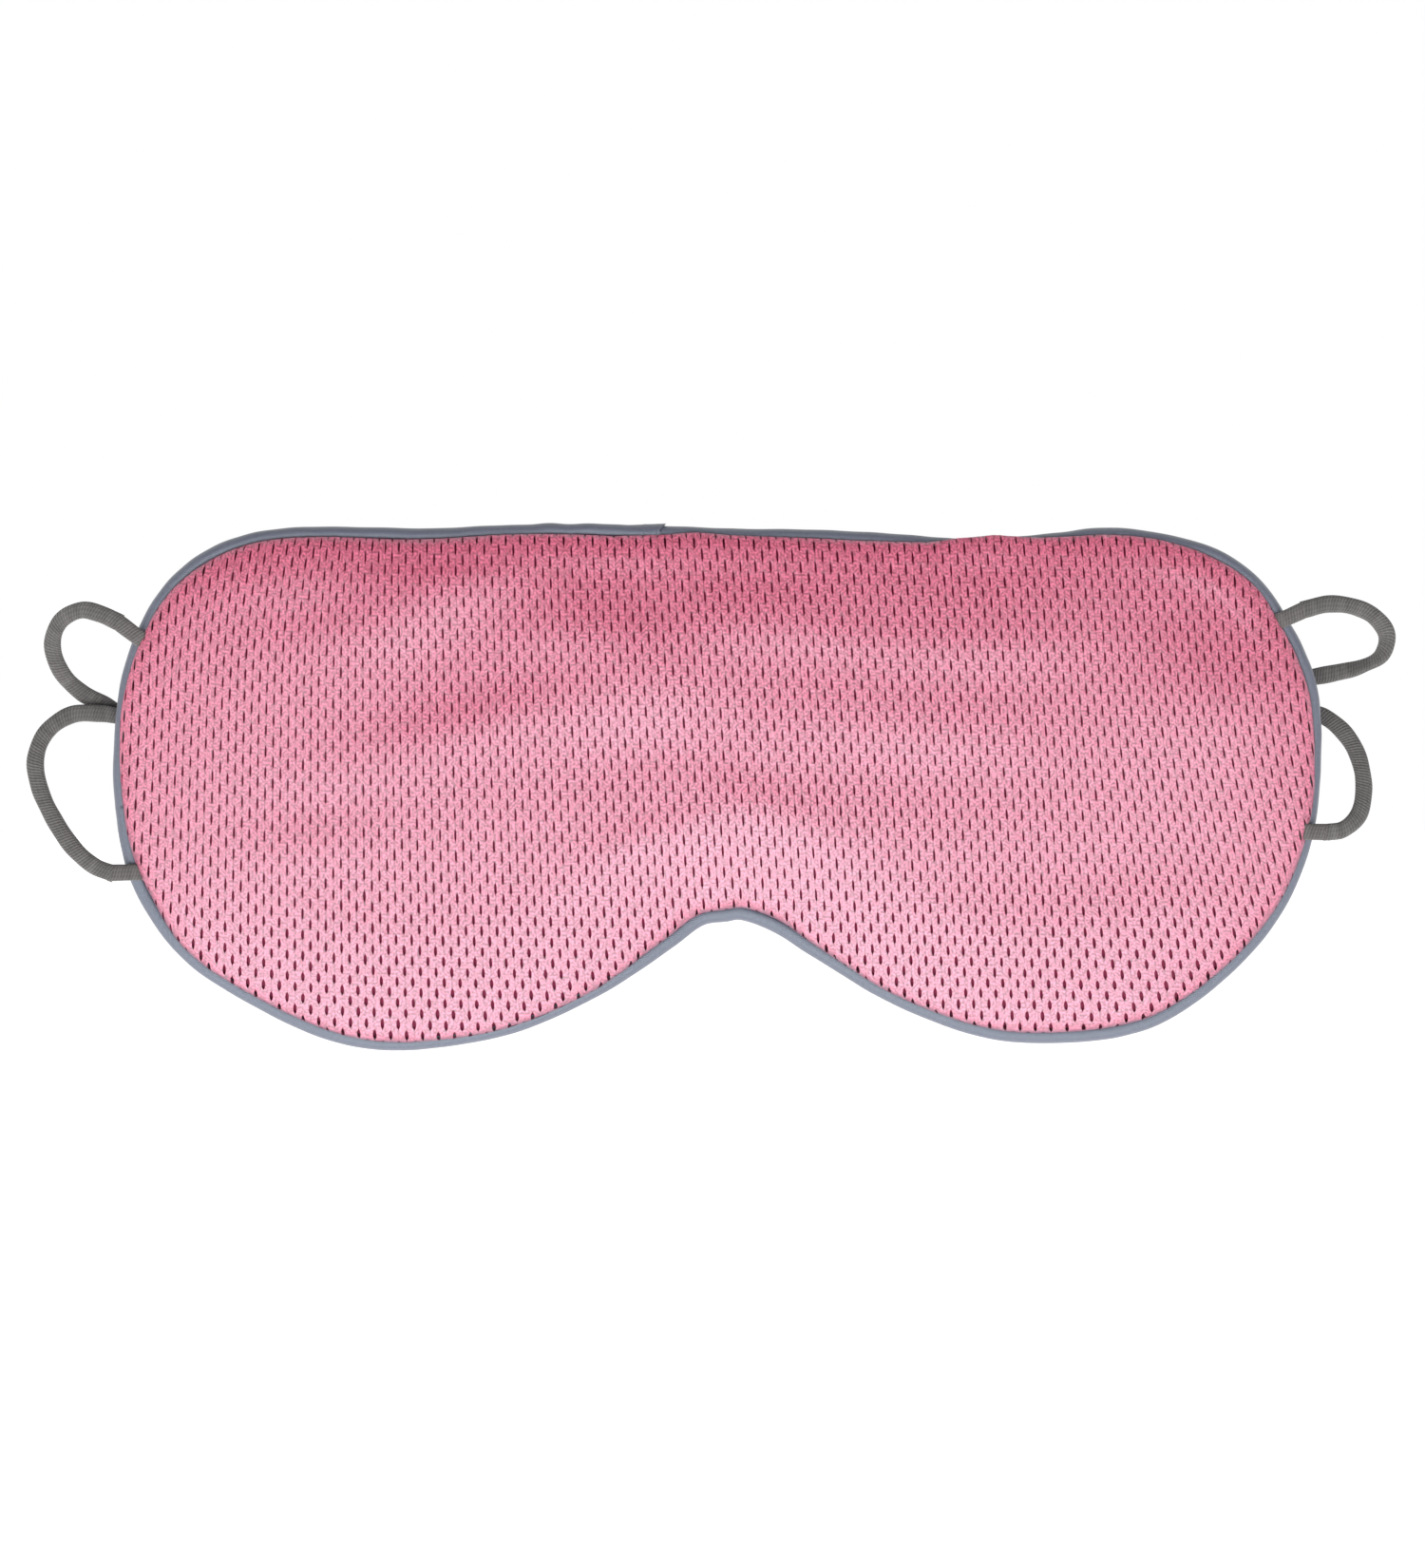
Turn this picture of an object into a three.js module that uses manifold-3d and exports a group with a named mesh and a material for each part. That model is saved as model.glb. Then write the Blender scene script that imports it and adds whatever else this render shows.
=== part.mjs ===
// A soft padded eye mask: a mesh front cover, a blackout layer, foam padding and a back lining,
// held together by a bias-tape binding round the edge, with an elastic ear loop sewn into each side.
// Units are millimetres. The mask is built lying face up (x to the wearer's left, y up the face,
// z towards the front, z = 0 on the skin side) and the last lines stand it upright, so that +Z is
// up and the front faces -Y. The mask folds along a vertical line above the nose, so every layer
// that crosses that line is two solids, a left and a right half.
import * as THREE from "three";
import { mergeVertices } from "three/addons/utils/BufferGeometryUtils.js";
import Module from "manifold-3d";

const wasm = await Module();
wasm.setup();

// ---- driving dimensions ----

const FOLD_X = 1.5; // the fold line runs through the top of the nose notch
const GAP = 0.3; // clearance between pieces that touch on the real mask
const OUTLINE_STEPS = 84; // points round the edge
const DOME_STEPS = 3; // steps up the rounded margin
const BIG = 400; // larger than the mask in every direction

// The edge of the binding, from the fold at the forehead round the left side to the nose notch and back.
const OUTLINE = [
  [1.5, 44.1],
  [-26.8, 44.9],
  [-49.5, 44.1],
  [-73.7, 44.1],
  [-85.0, 41.5],
  [-93.3, 35.5],
  [-98.6, 27.4],
  [-101.4, 19.3],
  [-102.8, 8.7],
  [-102.7, -1.5],
  [-100.7, -13.3],
  [-96.9, -21.5],
  [-90.2, -29.7],
  [-77.3, -37.9],
  [-65.6, -43.0],
  [-55.9, -44.5],
  [-41.3, -43.1],
  [-31.4, -40.4],
  [-18.4, -34.1],
  [-8.9, -27.8],
  [-2.7, -23.3],
  [1.5, -22.2],
  [7.1, -23.2],
  [16.5, -28.8],
  [29.5, -36.5],
  [44.3, -42.1],
  [55.6, -43.3],
  [71.7, -41.4],
  [81.3, -36.3],
  [91.4, -27.1],
  [97.4, -18.3],
  [101.4, -6.8],
  [102.6, 6.2],
  [101.7, 18.4],
  [97.1, 28.3],
  [91.8, 35.9],
  [83.2, 41.2],
  [66.9, 44.2],
  [54.0, 42.9],
  [42.7, 42.3],
  [23.3, 43.6],
];

// Heights above the skin side.
const BACK_FACE = 0; // the flat of the lining, which rests on the face
const FRONT_FACE = 9.4; // the flat of the front cover
const EDGE = 3.05; // the middle of the sewn edge, between the cover and the lining
const MARGIN = 14; // width of the rounded margin between the binding and the flat

const CLOTH = 0.7; // front cover and lining
const BLACKOUT = 0.5; // dark layer behind the cover

const TAPE_WIDTH = 2.4; // visible width of the binding
const TAPE = 0.6; // thickness of the folded tape
const TAPE_HEIGHT = 3.6; // binding from its back face to its front face
const TAPE_ROUND = 0.9; // rounding of its outer edges
const SEAM_INSET = 1.0; // the cloths' cut edges lie this far inside the binding's outer edge

const LAP_START = -17.5; // the tape's two ends lap over each other at the forehead
const LAP_END = -10.0;

const THREAD = 0.4; // sewing thread laid along the back of the binding
const THREAD_INSET = 1.7;

const ELASTIC_WIDTH = 2.9;
const ELASTIC_THICKNESS = 1.5;
const ELASTIC_SIDES = 8;
const TAIL_INSET = 1.5; // the sewn tails end this far inside the binding's outer edge
const SWING_GAP = 1.0; // from a tail to the loop, which swings about a line through its two ends

const PINK = 0xe887a5;
const SLATE = 0x5d667a;
const WARM_GREY = 0x6f6d6a;
const DARK_PLUM = 0x3c2030;
const FOAM_WHITE = 0xe9e4dc;
const LINING_SLATE = 0x7c8496;

// The ear loops, each from its upper sewn end to its lower one. Both ends lie over the front of the
// binding. The loop bulges out above and below, and its middle is tucked behind the mask's margin.
const LEFT_LOOP = [
  [-101.9, 28.1, 5.75],
  [-104.8, 29.4, 5.2],
  [-108.2, 30.1, 4.4],
  [-111.9, 28.3, 3.2],
  [-113.5, 24.4, 1.9],
  [-112.2, 19.7, 0.4],
  [-108.8, 16.1, -1.2],
  [-105.1, 14.1, -2.2],
  [-101.4, 11.4, -2.6],
  [-97.4, 7.4, -2.2],
  [-93.0, 4.2, -1.6],
  [-88.9, 5.0, -1.2],
  [-87.5, 9.2, -1.1],
  [-88.9, 13.6, -1.1],
  [-92.6, 15.6, -1.0],
  [-97.2, 14.6, -0.9],
  [-101.5, 12.3, -0.65],
  [-105.6, 12.6, -0.2],
  [-110.4, 12.4, 0.6],
  [-114.6, 9.4, 1.5],
  [-116.3, 4.9, 2.3],
  [-115.6, 0.2, 3.0],
  [-113.0, -5.3, 3.9],
  [-109.3, -10.5, 4.8],
  [-105.8, -13.4, 5.4],
  [-103.0, -14.5, 5.75],
];
const RIGHT_LOOP = [
  [99.6, 30.2, 5.75],
  [103.4, 31.1, 5.0],
  [107.6, 30.8, 4.0],
  [111.5, 29.2, 2.9],
  [114.0, 26.0, 1.8],
  [113.2, 22.5, 0.9],
  [109.8, 20.6, 0.2],
  [105.7, 19.6, -0.3],
  [101.4, 18.8, -0.65],
  [96.6, 18.0, -0.9],
  [92.2, 15.6, -1.0],
  [89.6, 11.0, -1.1],
  [88.7, 5.2, -1.2],
  [89.3, -0.8, -1.2],
  [92.2, -4.4, -1.1],
  [95.4, -2.6, -0.9],
  [96.4, 2.4, -0.7],
  [96.8, 7.6, -0.8],
  [98.9, 11.9, -0.8],
  [102.5, 12.5, -0.65],
  [105.9, 10.4, 0.1],
  [108.4, 7.0, 1.3],
  [109.6, 3.2, 2.5],
  [109.8, -0.8, 3.5],
  [108.7, -4.8, 4.6],
  [105.9, -7.2, 5.4],
  [103.2, -7.6, 5.75],
];
const LOOP_STEPS = 52;

// The points where the elastic comes out from under the edge of the front cover.
const SEWN_ENDS = {
  left_upper_tail: { from: [-98.1, 25.2], to: LEFT_LOOP[0] },
  left_lower_tail: { from: [-98.6, -14.4], to: LEFT_LOOP.at(-1) },
  right_upper_tail: { from: [95.9, 28.5], to: RIGHT_LOOP[0] },
  right_lower_tail: { from: [98.7, -7.5], to: RIGHT_LOOP.at(-1) },
};

// ---- outline ----

const edgeCurve = new THREE.CatmullRomCurve3(
  OUTLINE.map(([x, y]) => new THREE.Vector3(x, y, 0)),
  true,
);

// The edge moved inwards by a distance (outwards where it is negative).
function edgeAt(inset) {
  const points = [];
  for (let i = 0; i < OUTLINE_STEPS; i++) {
    const u = i / OUTLINE_STEPS;
    const point = edgeCurve.getPointAt(u);
    const along = edgeCurve.getTangentAt(u);
    points.push(new THREE.Vector2(point.x - along.y * inset, point.y + along.x * inset));
  }
  return points;
}

// ---- solids ----

function toSolid(geometry) {
  const bare = geometry.clone();
  bare.deleteAttribute("normal");
  bare.deleteAttribute("uv");
  const merged = mergeVertices(bare, 1e-4);
  return new wasm.Manifold(
    new wasm.Mesh({
      numProp: 3,
      vertProperties: merged.attributes.position.array,
      triVerts: new Uint32Array(merged.index.array),
    }),
  );
}

function toGeometry(solid) {
  const mesh = solid.getMesh();
  const geometry = new THREE.BufferGeometry();
  geometry.setAttribute("position", new THREE.BufferAttribute(mesh.vertProperties, 3));
  geometry.setIndex(new THREE.BufferAttribute(mesh.triVerts, 1));
  return geometry;
}

function box(x0, x1, z0, z1) {
  const geometry = new THREE.BoxGeometry(x1 - x0, BIG, z1 - z0);
  geometry.translate((x0 + x1) / 2, 0, (z0 + z1) / 2);
  return toSolid(geometry);
}

// A flat plate of the mask's outline.
function plate(inset, z0, z1) {
  const geometry = new THREE.ExtrudeGeometry(new THREE.Shape(edgeAt(inset)), {
    depth: z1 - z0,
    bevelEnabled: false,
  });
  geometry.translate(0, 0, z0);
  return toSolid(geometry);
}

// A plate whose rim is rounded on both faces.
function roundedPlate(inset, z0, z1, radius) {
  const geometry = new THREE.ExtrudeGeometry(new THREE.Shape(edgeAt(inset)), {
    depth: z1 - z0 - 2 * radius,
    bevelThickness: radius,
    bevelSize: radius,
    bevelOffset: -radius,
    bevelSegments: 2,
  });
  geometry.translate(0, 0, z0 + radius);
  return toSolid(geometry);
}

// A low dome: an upright skirt from the base, then the rounded margin up (or down) to a flat top.
function dome(inset, base, shoulder, top) {
  const rise = Math.abs(top - shoulder);
  const skirt = Math.abs(shoulder - base);
  const geometry = new THREE.ExtrudeGeometry(new THREE.Shape(edgeAt(inset)), {
    depth: skirt,
    bevelThickness: rise,
    bevelSize: MARGIN,
    bevelOffset: -MARGIN,
    bevelSegments: DOME_STEPS,
  });
  const upwards = top > shoulder;
  geometry.translate(0, 0, upwards ? base : shoulder);
  const kept = upwards ? box(-BIG, BIG, base, BIG) : box(-BIG, BIG, -BIG, base);
  return toSolid(geometry).intersect(kept);
}

function leftOf(solid) {
  return solid.intersect(box(-BIG, FOLD_X - GAP / 2, -BIG, BIG));
}

function rightOf(solid) {
  return solid.intersect(box(FOLD_X + GAP / 2, BIG, -BIG, BIG));
}

// ---- layers ----

const coverBase = EDGE + GAP / 2;
const liningBase = EDGE - GAP / 2;
const coverShoulder = coverBase + CLOTH;
const liningShoulder = liningBase - CLOTH;
const domeInset = TAPE_WIDTH + GAP;

// The front cover: a puffed shell with a flat seam allowance that runs into the binding.
function frontCover() {
  const outside = dome(domeInset, coverBase, coverShoulder, FRONT_FACE);
  const allowance = plate(SEAM_INSET, coverBase, coverShoulder);
  const inside = dome(domeInset + CLOTH, coverBase - GAP, coverShoulder, FRONT_FACE - CLOTH);
  return outside.add(allowance).subtract(inside);
}

function blackoutLayer() {
  const inset = domeInset + CLOTH + GAP;
  const top = FRONT_FACE - CLOTH - GAP;
  const outside = dome(inset, coverBase, coverShoulder, top);
  const inside = dome(inset + BLACKOUT, coverBase - GAP, coverShoulder, top - BLACKOUT);
  return outside.subtract(inside);
}

// The foam: a pillow between the blackout layer and the lining. Its two domes run into each other.
function padding() {
  const inset = domeInset + CLOTH + GAP + BLACKOUT + GAP;
  const top = FRONT_FACE - CLOTH - GAP - BLACKOUT - GAP;
  const front = dome(inset, liningShoulder, coverShoulder, top);
  const back = dome(inset + GAP, coverShoulder, liningShoulder, BACK_FACE + CLOTH + GAP);
  return front.add(back);
}

function backLining() {
  const outside = dome(domeInset, liningBase, liningShoulder, BACK_FACE);
  const allowance = plate(SEAM_INSET, liningShoulder, liningBase);
  const inside = dome(domeInset + CLOTH, liningBase + GAP, liningShoulder, BACK_FACE + CLOTH);
  return outside.add(allowance).subtract(inside);
}

// ---- binding ----

const tapeBack = EDGE - TAPE_HEIGHT / 2;
const tapeFront = EDGE + TAPE_HEIGHT / 2;

// The tape is folded over the edge as a channel that is open towards the middle of the mask.
function edgeBinding() {
  return roundedPlate(0, tapeBack, tapeFront, TAPE_ROUND)
    .subtract(plate(TAPE, tapeBack + TAPE, tapeFront - TAPE))
    .subtract(plate(TAPE_WIDTH, tapeBack - GAP, tapeFront + GAP));
}

// The tape's last stretch, which laps over its first at the forehead, and over the sewing thread.
function bindingLapEnd() {
  const back = tapeBack - GAP - THREAD - GAP;
  const front = tapeFront + GAP;
  return roundedPlate(-GAP - TAPE, back - TAPE, front + TAPE, TAPE_ROUND)
    .subtract(plate(-GAP, back, front))
    .subtract(plate(TAPE_WIDTH, -BIG, BIG))
    .intersect(box(LAP_START, LAP_END, -BIG, BIG))
    .intersect(foreheadSide());
}

function foreheadSide() {
  const geometry = new THREE.BoxGeometry(BIG, BIG, BIG);
  geometry.translate(0, BIG / 2, 0);
  return toSolid(geometry);
}

// The thread lies 0.3 mm behind the tape that it holds.
function seamThread() {
  const z1 = tapeBack - GAP;
  return plate(THREAD_INSET, z1 - THREAD, z1).subtract(plate(THREAD_INSET + THREAD, -BIG, BIG));
}

// ---- elastic ----

function elasticSection() {
  const ring = [];
  for (let i = 0; i < ELASTIC_SIDES; i++) {
    const angle = ((i + 0.5) * 2 * Math.PI) / ELASTIC_SIDES;
    ring.push(
      new THREE.Vector2(
        (ELASTIC_THICKNESS / 2) * Math.cos(angle),
        (ELASTIC_WIDTH / 2) * Math.sin(angle),
      ),
    );
  }
  return new THREE.Shape(ring);
}

function elasticAlong(curve, steps) {
  return new THREE.ExtrudeGeometry(elasticSection(), { steps, extrudePath: curve });
}

function earLoop(route) {
  const curve = new THREE.CatmullRomCurve3(route.map((p) => new THREE.Vector3(...p)));
  return elasticAlong(curve, LOOP_STEPS);
}

// A sewn tail: the short end of a loop that lies flat across the front of the binding.
function sewnTail({ from, to }) {
  const height = to[2];
  const start = new THREE.Vector3(from[0], from[1], height);
  const end = new THREE.Vector3(to[0], to[1], height);
  const outward = end.clone().sub(start).normalize();
  const length = start.distanceTo(end);
  const inner = start.clone().addScaledVector(outward, TAPE_WIDTH - TAIL_INSET);
  const outer = start.clone().addScaledVector(outward, length - SWING_GAP);
  return elasticAlong(new THREE.LineCurve3(inner, outer), 1);
}

// ---- assembly ----

const mask = new THREE.Group();

function material(color, roughness) {
  return new THREE.MeshStandardMaterial({ color, roughness, metalness: 0 });
}

function addMesh(name, geometry, look) {
  const mesh = new THREE.Mesh(geometry, look);
  mesh.name = name;
  mask.add(mesh);
}

function addHalves(name, solid, look) {
  addMesh(name + "_left", toGeometry(leftOf(solid)), look);
  addMesh(name + "_right", toGeometry(rightOf(solid)), look);
}

const tapeLook = material(SLATE, 0.85);
const elasticLook = material(WARM_GREY, 0.9);

addHalves("front_cover", frontCover(), material(PINK, 0.8));
addHalves("blackout_layer", blackoutLayer(), material(DARK_PLUM, 0.9));
addHalves("padding", padding(), material(FOAM_WHITE, 0.95));
addHalves("back_lining", backLining(), material(LINING_SLATE, 0.85));
addHalves("edge_binding", edgeBinding(), tapeLook);
addHalves("seam_thread", seamThread(), material(SLATE, 0.6));
addMesh("binding_lap_end", toGeometry(bindingLapEnd()), tapeLook);
for (const [name, ends] of Object.entries(SEWN_ENDS)) {
  addMesh(name, sewnTail(ends), elasticLook);
}
addMesh("left_ear_loop", earLoop(LEFT_LOOP), elasticLook);
addMesh("right_ear_loop", earLoop(RIGHT_LOOP), elasticLook);

// Stand the mask up: the front faces -Y and the forehead is up.
mask.rotation.x = Math.PI / 2;

export default mask;
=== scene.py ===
"""The looks of a padded eye mask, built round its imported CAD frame.

Shapes are worked out in millimetres on the mask's own plan: x to the right, z up, and depth
forwards, towards the viewer. world() turns them into Blender's metres, where the front faces -Y.
"""
import math

import bpy
import numpy as np
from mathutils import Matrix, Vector, geometry, kdtree

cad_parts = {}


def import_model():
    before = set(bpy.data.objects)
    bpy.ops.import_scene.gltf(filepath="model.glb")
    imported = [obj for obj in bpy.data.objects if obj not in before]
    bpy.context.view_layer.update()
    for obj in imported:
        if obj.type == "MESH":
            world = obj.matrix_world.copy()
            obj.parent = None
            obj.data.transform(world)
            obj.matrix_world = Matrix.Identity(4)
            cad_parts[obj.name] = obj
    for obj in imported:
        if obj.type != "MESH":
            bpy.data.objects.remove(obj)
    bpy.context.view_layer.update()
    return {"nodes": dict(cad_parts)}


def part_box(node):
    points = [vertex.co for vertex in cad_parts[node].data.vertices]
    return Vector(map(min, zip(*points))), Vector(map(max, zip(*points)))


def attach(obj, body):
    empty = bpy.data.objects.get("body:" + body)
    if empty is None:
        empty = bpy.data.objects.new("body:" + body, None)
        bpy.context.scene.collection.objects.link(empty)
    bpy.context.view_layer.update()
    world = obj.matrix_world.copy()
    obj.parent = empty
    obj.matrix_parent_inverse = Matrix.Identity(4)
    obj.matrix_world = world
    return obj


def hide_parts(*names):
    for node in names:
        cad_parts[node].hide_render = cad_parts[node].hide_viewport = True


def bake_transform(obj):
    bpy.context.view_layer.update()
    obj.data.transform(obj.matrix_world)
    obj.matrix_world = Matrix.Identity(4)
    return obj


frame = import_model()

MM = 0.001
RNG = np.random.default_rng(7)

# ---- driving dimensions, in millimetres ----

EYELET_PITCH = 2.55  # from one eyelet to the next along a row
ROW_PITCH = 1.79  # from one row to the next, where the eyelets lie half a pitch along
EYELET_LENGTH = 2.35
EYELET_WIDTH = 0.38
EYELET_SUNK = 0.1  # an eyelet's lips lie this far below the knit round it
MESH_THICKNESS = 0.45

HALF_WIDTH = 106  # the mask lies inside these
HALF_HEIGHT = 50
CROWN_HALF_HEIGHT = 46  # the crown falls to nothing this far above and below its middle
CROWN_MIDDLE = 1
MARGIN = 13.0  # the padding reaches its full height this far inside the edge
MARGIN_RISE = 3.3  # and has risen this much there
CROWN_RISE = 2.4  # the crown adds this over the middle
LINING_RISE = 1.9
SEAM_RISE = 0.9  # the cover and the lining start at this height over the sewn edge's middle
PUCKER = 0.22  # the seam puckers the lining by this much
SAG = 0.2  # and further in it is uneven by this much
ROLL = 6.0  # width of the edge strip where the cloth rolls into the binding
ROLL_UNDER = 3.0  # the rolled cloth ends this far inside the edge, under itself
ROLL_FOOT = 1.0  # and at this height over the sewn edge's middle
ROLL_PULL = 2.2  # length of the roll curve's inner handle
BULGE_SHOWS = 1.6  # where this much of the binding shows,
BULGE = -0.7  # the roll curve's outer handle lies this far inside the edge,
BULGE_HEIGHT = 2.2
BULGE_SHARE = 0.42  # and the cloth's outline moves by this share of the handle's move
ROLL_STEPS = 22
ROLL_TURN = 16  # the step at which the rolled cloth stands out furthest
TURN_REACH = 0.55  # points this near the turn are drawn onto it
BINDING_BEHIND = 1.9  # how much of the binding shows behind
MESH_TUCKED = 2.6  # laid flat, the cover reaches this far past the rim
CLOTH_TUCKED = 0.6  # laid flat, the layers under the cover reach this far past the rim

BLACKOUT_BELOW = 0.75  # the blackout layer lies this far below the cover's face
BLACKOUT_THICKNESS = 0.3
PADDING_BELOW = 1.7
PADDING_INSIDE = 0.9  # the padding's back lies this far inside the lining's face
LINING_THICKNESS = 0.4
CLOTH_SPACING = 1.8  # between the points of a plain layer's surface
PADDING_SPACING = 2.2

TAPE_WIDTH = 2.35
TAPE_HALF = 1.6  # half the binding's height at its fullest
TAPE_CLOTH = 0.45
TAPE_FULLNESS = 0.27  # the tape stands this much further out round the sides and the lower edge
CORNER_LENGTH = 3.0  # of the corner turned under at the lapped end
CORNER_SHOWS = 0.6
LAP_RISE = 0.36  # the lapped end stands this far proud of the tape below
LAP_START = -0.12  # and its other end lies inside the tape
LAP_CLOTH = 0.6 * TAPE_CLOTH  # its cloth is pressed thin
LAP_SLANT = -0.85  # its end moves this far along for each millimetre in from the rim
CORNER_RISE = 0.22
CORNER_CLOTH = 0.4 * TAPE_CLOTH
CORNER_SLANT = 0.5
SLACK_X = -27  # where the tape is a little slack, to the left of the lap
TOP_FROM = 30  # the top edge is the part of the rim above this height

ELASTIC_WIDTH = 2.9
ELASTIC_THICKNESS = 1.4
ELASTIC_SIDES = 16
ELASTIC_SQUARE = 0.75  # 1 would give an oval section, and less gives a squarer one
ELASTIC_STEP = 0.4
TAIL_SHARE = 0.95  # a sewn end, pressed by its stitching, is this share of the loop's size
TAIL_THIN = 0.75  # and this thick at its foot
TAIL_REACH = 2.9  # its foot lies this far inside the edge, under the cover
TAIL_FOOT_HEIGHT = 1.35
TAIL_OUT_HEIGHT = 2.25  # height where it comes out from under the cover

STITCH_LENGTH = 2.3
STITCH_GAP = 0.5
STITCH_INSET = 1.75
STITCH_SUNK = 0.12  # a stitch's ends lie this far inside the tape's face
STITCH_BULGE = 0.22  # and its middle stands out by this much more
STITCH_RINGS = 6
THREAD = 0.32
THREAD_SIDES = 6

# ---- colours, as linear red, green and blue ----

PINK_DEEP = (0.34, 0.024, 0.064)
PINK_LIGHT = (0.84, 0.146, 0.268)
PLUM = (0.22, 0.026, 0.068)
PLUM_LIGHT = (0.29, 0.042, 0.092)
SLATE = (0.030, 0.029, 0.062)
SLATE_LIGHT = (0.122, 0.119, 0.182)
LINING = (0.080, 0.080, 0.118)
LINING_LIGHT = (0.145, 0.145, 0.198)
ELASTIC_DARK = (0.054, 0.051, 0.049)
ELASTIC_LIGHT = (0.170, 0.162, 0.158)
WADDING = (0.72, 0.70, 0.68)
PINK_GLOSS = (0.5, 0.95, 1.0)  # tints of the polyester's shine
TAPE_GLOSS = (0.85, 1.0, 1.0)

# ---- shapes drawn one by one, in millimetres ----

# How much of the binding shows in front, by direction from the mask's middle in degrees.
BINDING_SHOWS = [
    (-180, 1.5), (-175, 1.6), (-169, 2.1), (-163, 1.4), (-148, 1.5), (-134, 1.0), (-120, 1.0),
    (-111, 1.6), (-70, 2.0), (-52, 1.3), (-31, 1.8), (-13, 1.3), (-1, 1.1), (5, 1.5), (11, 2.0),
    (20, 1.7), (25, 1.8), (30, 1.3), (35, 1.3), (38, 0.7), (42, -0.4), (46, 0.1), (50, 1.1),
    (56, 1.5), (62, 1.7), (74, 1.5), (87, 1.3), (95, 1.0), (102, 1.6), (112, 2.1), (120, 1.9),
    (130, 1.7), (140, 2.0), (150, 1.8), (155, 2.1), (160, 1.7), (167, 1.5), (173, 1.1), (180, 1.5),
]

# Soft ripples of the padding: x, z, width, height, turn in degrees, and the slope at the middle,
# positive where the cloth there leans to face down.
RIPPLES = [
    (-46, 29, 11, 6, 25, 0.16),
    (-70, 33, 10, 4, 10, 0.06),
    (-42, 13, 14, 4, 16, -0.10),
    (-17, 29, 9, 6, -15, -0.10),
    (3, 32, 8, 5, 0, -0.06),
    (-14, 10, 10, 6, 10, 0.10),
    (-12, -7, 9, 3, 15, -0.06),
    (-68, -7, 9, 4, 5, -0.06),
    (14, 24, 12, 4, -10, 0.05),
    (32, 6, 16, 5, -5, 0.07),
    (6, 0, 8, 3, -15, -0.05),
    (8, -13, 16, 6, 0, 0.05),
    (84, 22, 11, 10, 0, -0.12),
    (45, 21, 9, 4, 0, 0.05),
    (66, -18, 16, 5, 5, -0.05),
    (86, -27, 10, 6, 30, 0.06),
]

# The ear loops' routes as the CAD part has them: x, z and depth, from the upper sewn end to the lower.
LEFT_ROUTE = [
    (-101.9, 28.1, 5.75), (-104.8, 29.4, 5.2), (-108.2, 30.1, 4.4), (-111.9, 28.3, 3.2),
    (-113.5, 24.4, 1.9), (-112.2, 19.7, 0.4), (-108.8, 16.1, -1.2), (-105.1, 14.1, -2.2),
    (-101.4, 11.4, -2.6), (-97.4, 7.4, -2.2), (-93.0, 4.2, -1.6), (-88.9, 5.0, -1.2),
    (-87.5, 9.2, -1.1), (-88.9, 13.6, -1.1), (-92.6, 15.6, -1.0), (-97.2, 14.6, -0.9),
    (-101.5, 12.3, -0.65), (-105.6, 12.6, -0.2), (-110.4, 12.4, 0.6), (-114.6, 9.4, 1.5),
    (-116.3, 4.9, 2.3), (-115.6, 0.2, 3.0), (-113.0, -5.3, 3.9), (-109.3, -10.5, 4.8),
    (-105.8, -13.4, 5.4), (-103.0, -14.5, 5.75),
]
RIGHT_ROUTE = [
    (99.6, 30.2, 5.75), (103.4, 31.1, 5.0), (107.6, 30.8, 4.0), (111.5, 29.2, 2.9),
    (114.0, 26.0, 1.8), (113.2, 22.5, 0.9), (109.8, 20.6, 0.2), (105.7, 19.6, -0.3),
    (101.4, 18.8, -0.65), (96.6, 18.0, -0.9), (92.2, 15.6, -1.0), (89.6, 11.0, -1.1),
    (88.7, 5.2, -1.2), (89.3, -0.8, -1.2), (92.2, -4.4, -1.1), (95.4, -2.6, -0.9),
    (96.4, 2.4, -0.8), (96.8, 7.6, -0.8), (98.9, 11.9, -0.8), (102.5, 12.5, -0.65),
    (105.9, 10.4, 0.1), (108.4, 7.0, 1.3), (109.6, 3.2, 2.5), (109.8, -0.8, 3.5),
    (108.7, -4.8, 4.6), (105.9, -7.2, 5.4), (103.2, -7.6, 5.75),
]

# Where each sewn end comes out from under the cover.
SEWN_ENDS = {
    "left_upper_tail": (-98.1, 25.2),
    "left_lower_tail": (-98.6, -14.4),
    "right_upper_tail": (95.9, 28.5),
    "right_lower_tail": (98.7, -7.5),
}

# ---- places read from the frame ----

binding_low, binding_high = (np.array(corner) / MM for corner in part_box("edge_binding_left"))
EDGE_DEPTH = -(binding_low[1] + binding_high[1]) / 2  # the middle of the sewn edge
LAP_LOW, LAP_HIGH = (np.array(corner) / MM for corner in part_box("binding_lap_end"))


def world(points):
    """Plan points (x, z, depth) in millimetres as Blender points in metres."""
    p = np.asarray(points, float)
    return np.column_stack((p[:, 0], -p[:, 2], p[:, 1])) * MM


# ---- camera ----

LENS = 100.0
SENSOR = 36.0
FRAME_HEIGHT = 266.8  # what the picture's height spans at the sewn edge
VIEW_LEFT = 0.97  # the mask lies a little to the right of the picture's middle
VIEW_UP = 0.57


def add_camera():
    camera = bpy.data.objects.new("camera", bpy.data.cameras.new("camera"))
    bpy.context.scene.collection.objects.link(camera)
    camera.data.lens = LENS
    camera.data.sensor_width = SENSOR
    distance = FRAME_HEIGHT * LENS / SENSOR
    camera.location = world([(-VIEW_LEFT, VIEW_UP, EDGE_DEPTH + distance)])[0]
    camera.rotation_euler = (math.radians(90), 0, 0)
    camera.data.clip_start = 0.01
    bpy.context.scene.camera = camera


add_camera()


# ---- small helpers ----


def smoothstep(low, high, x):
    t = np.clip((x - low) / (high - low), 0, 1)
    return t * t * (3 - 2 * t)


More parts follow.
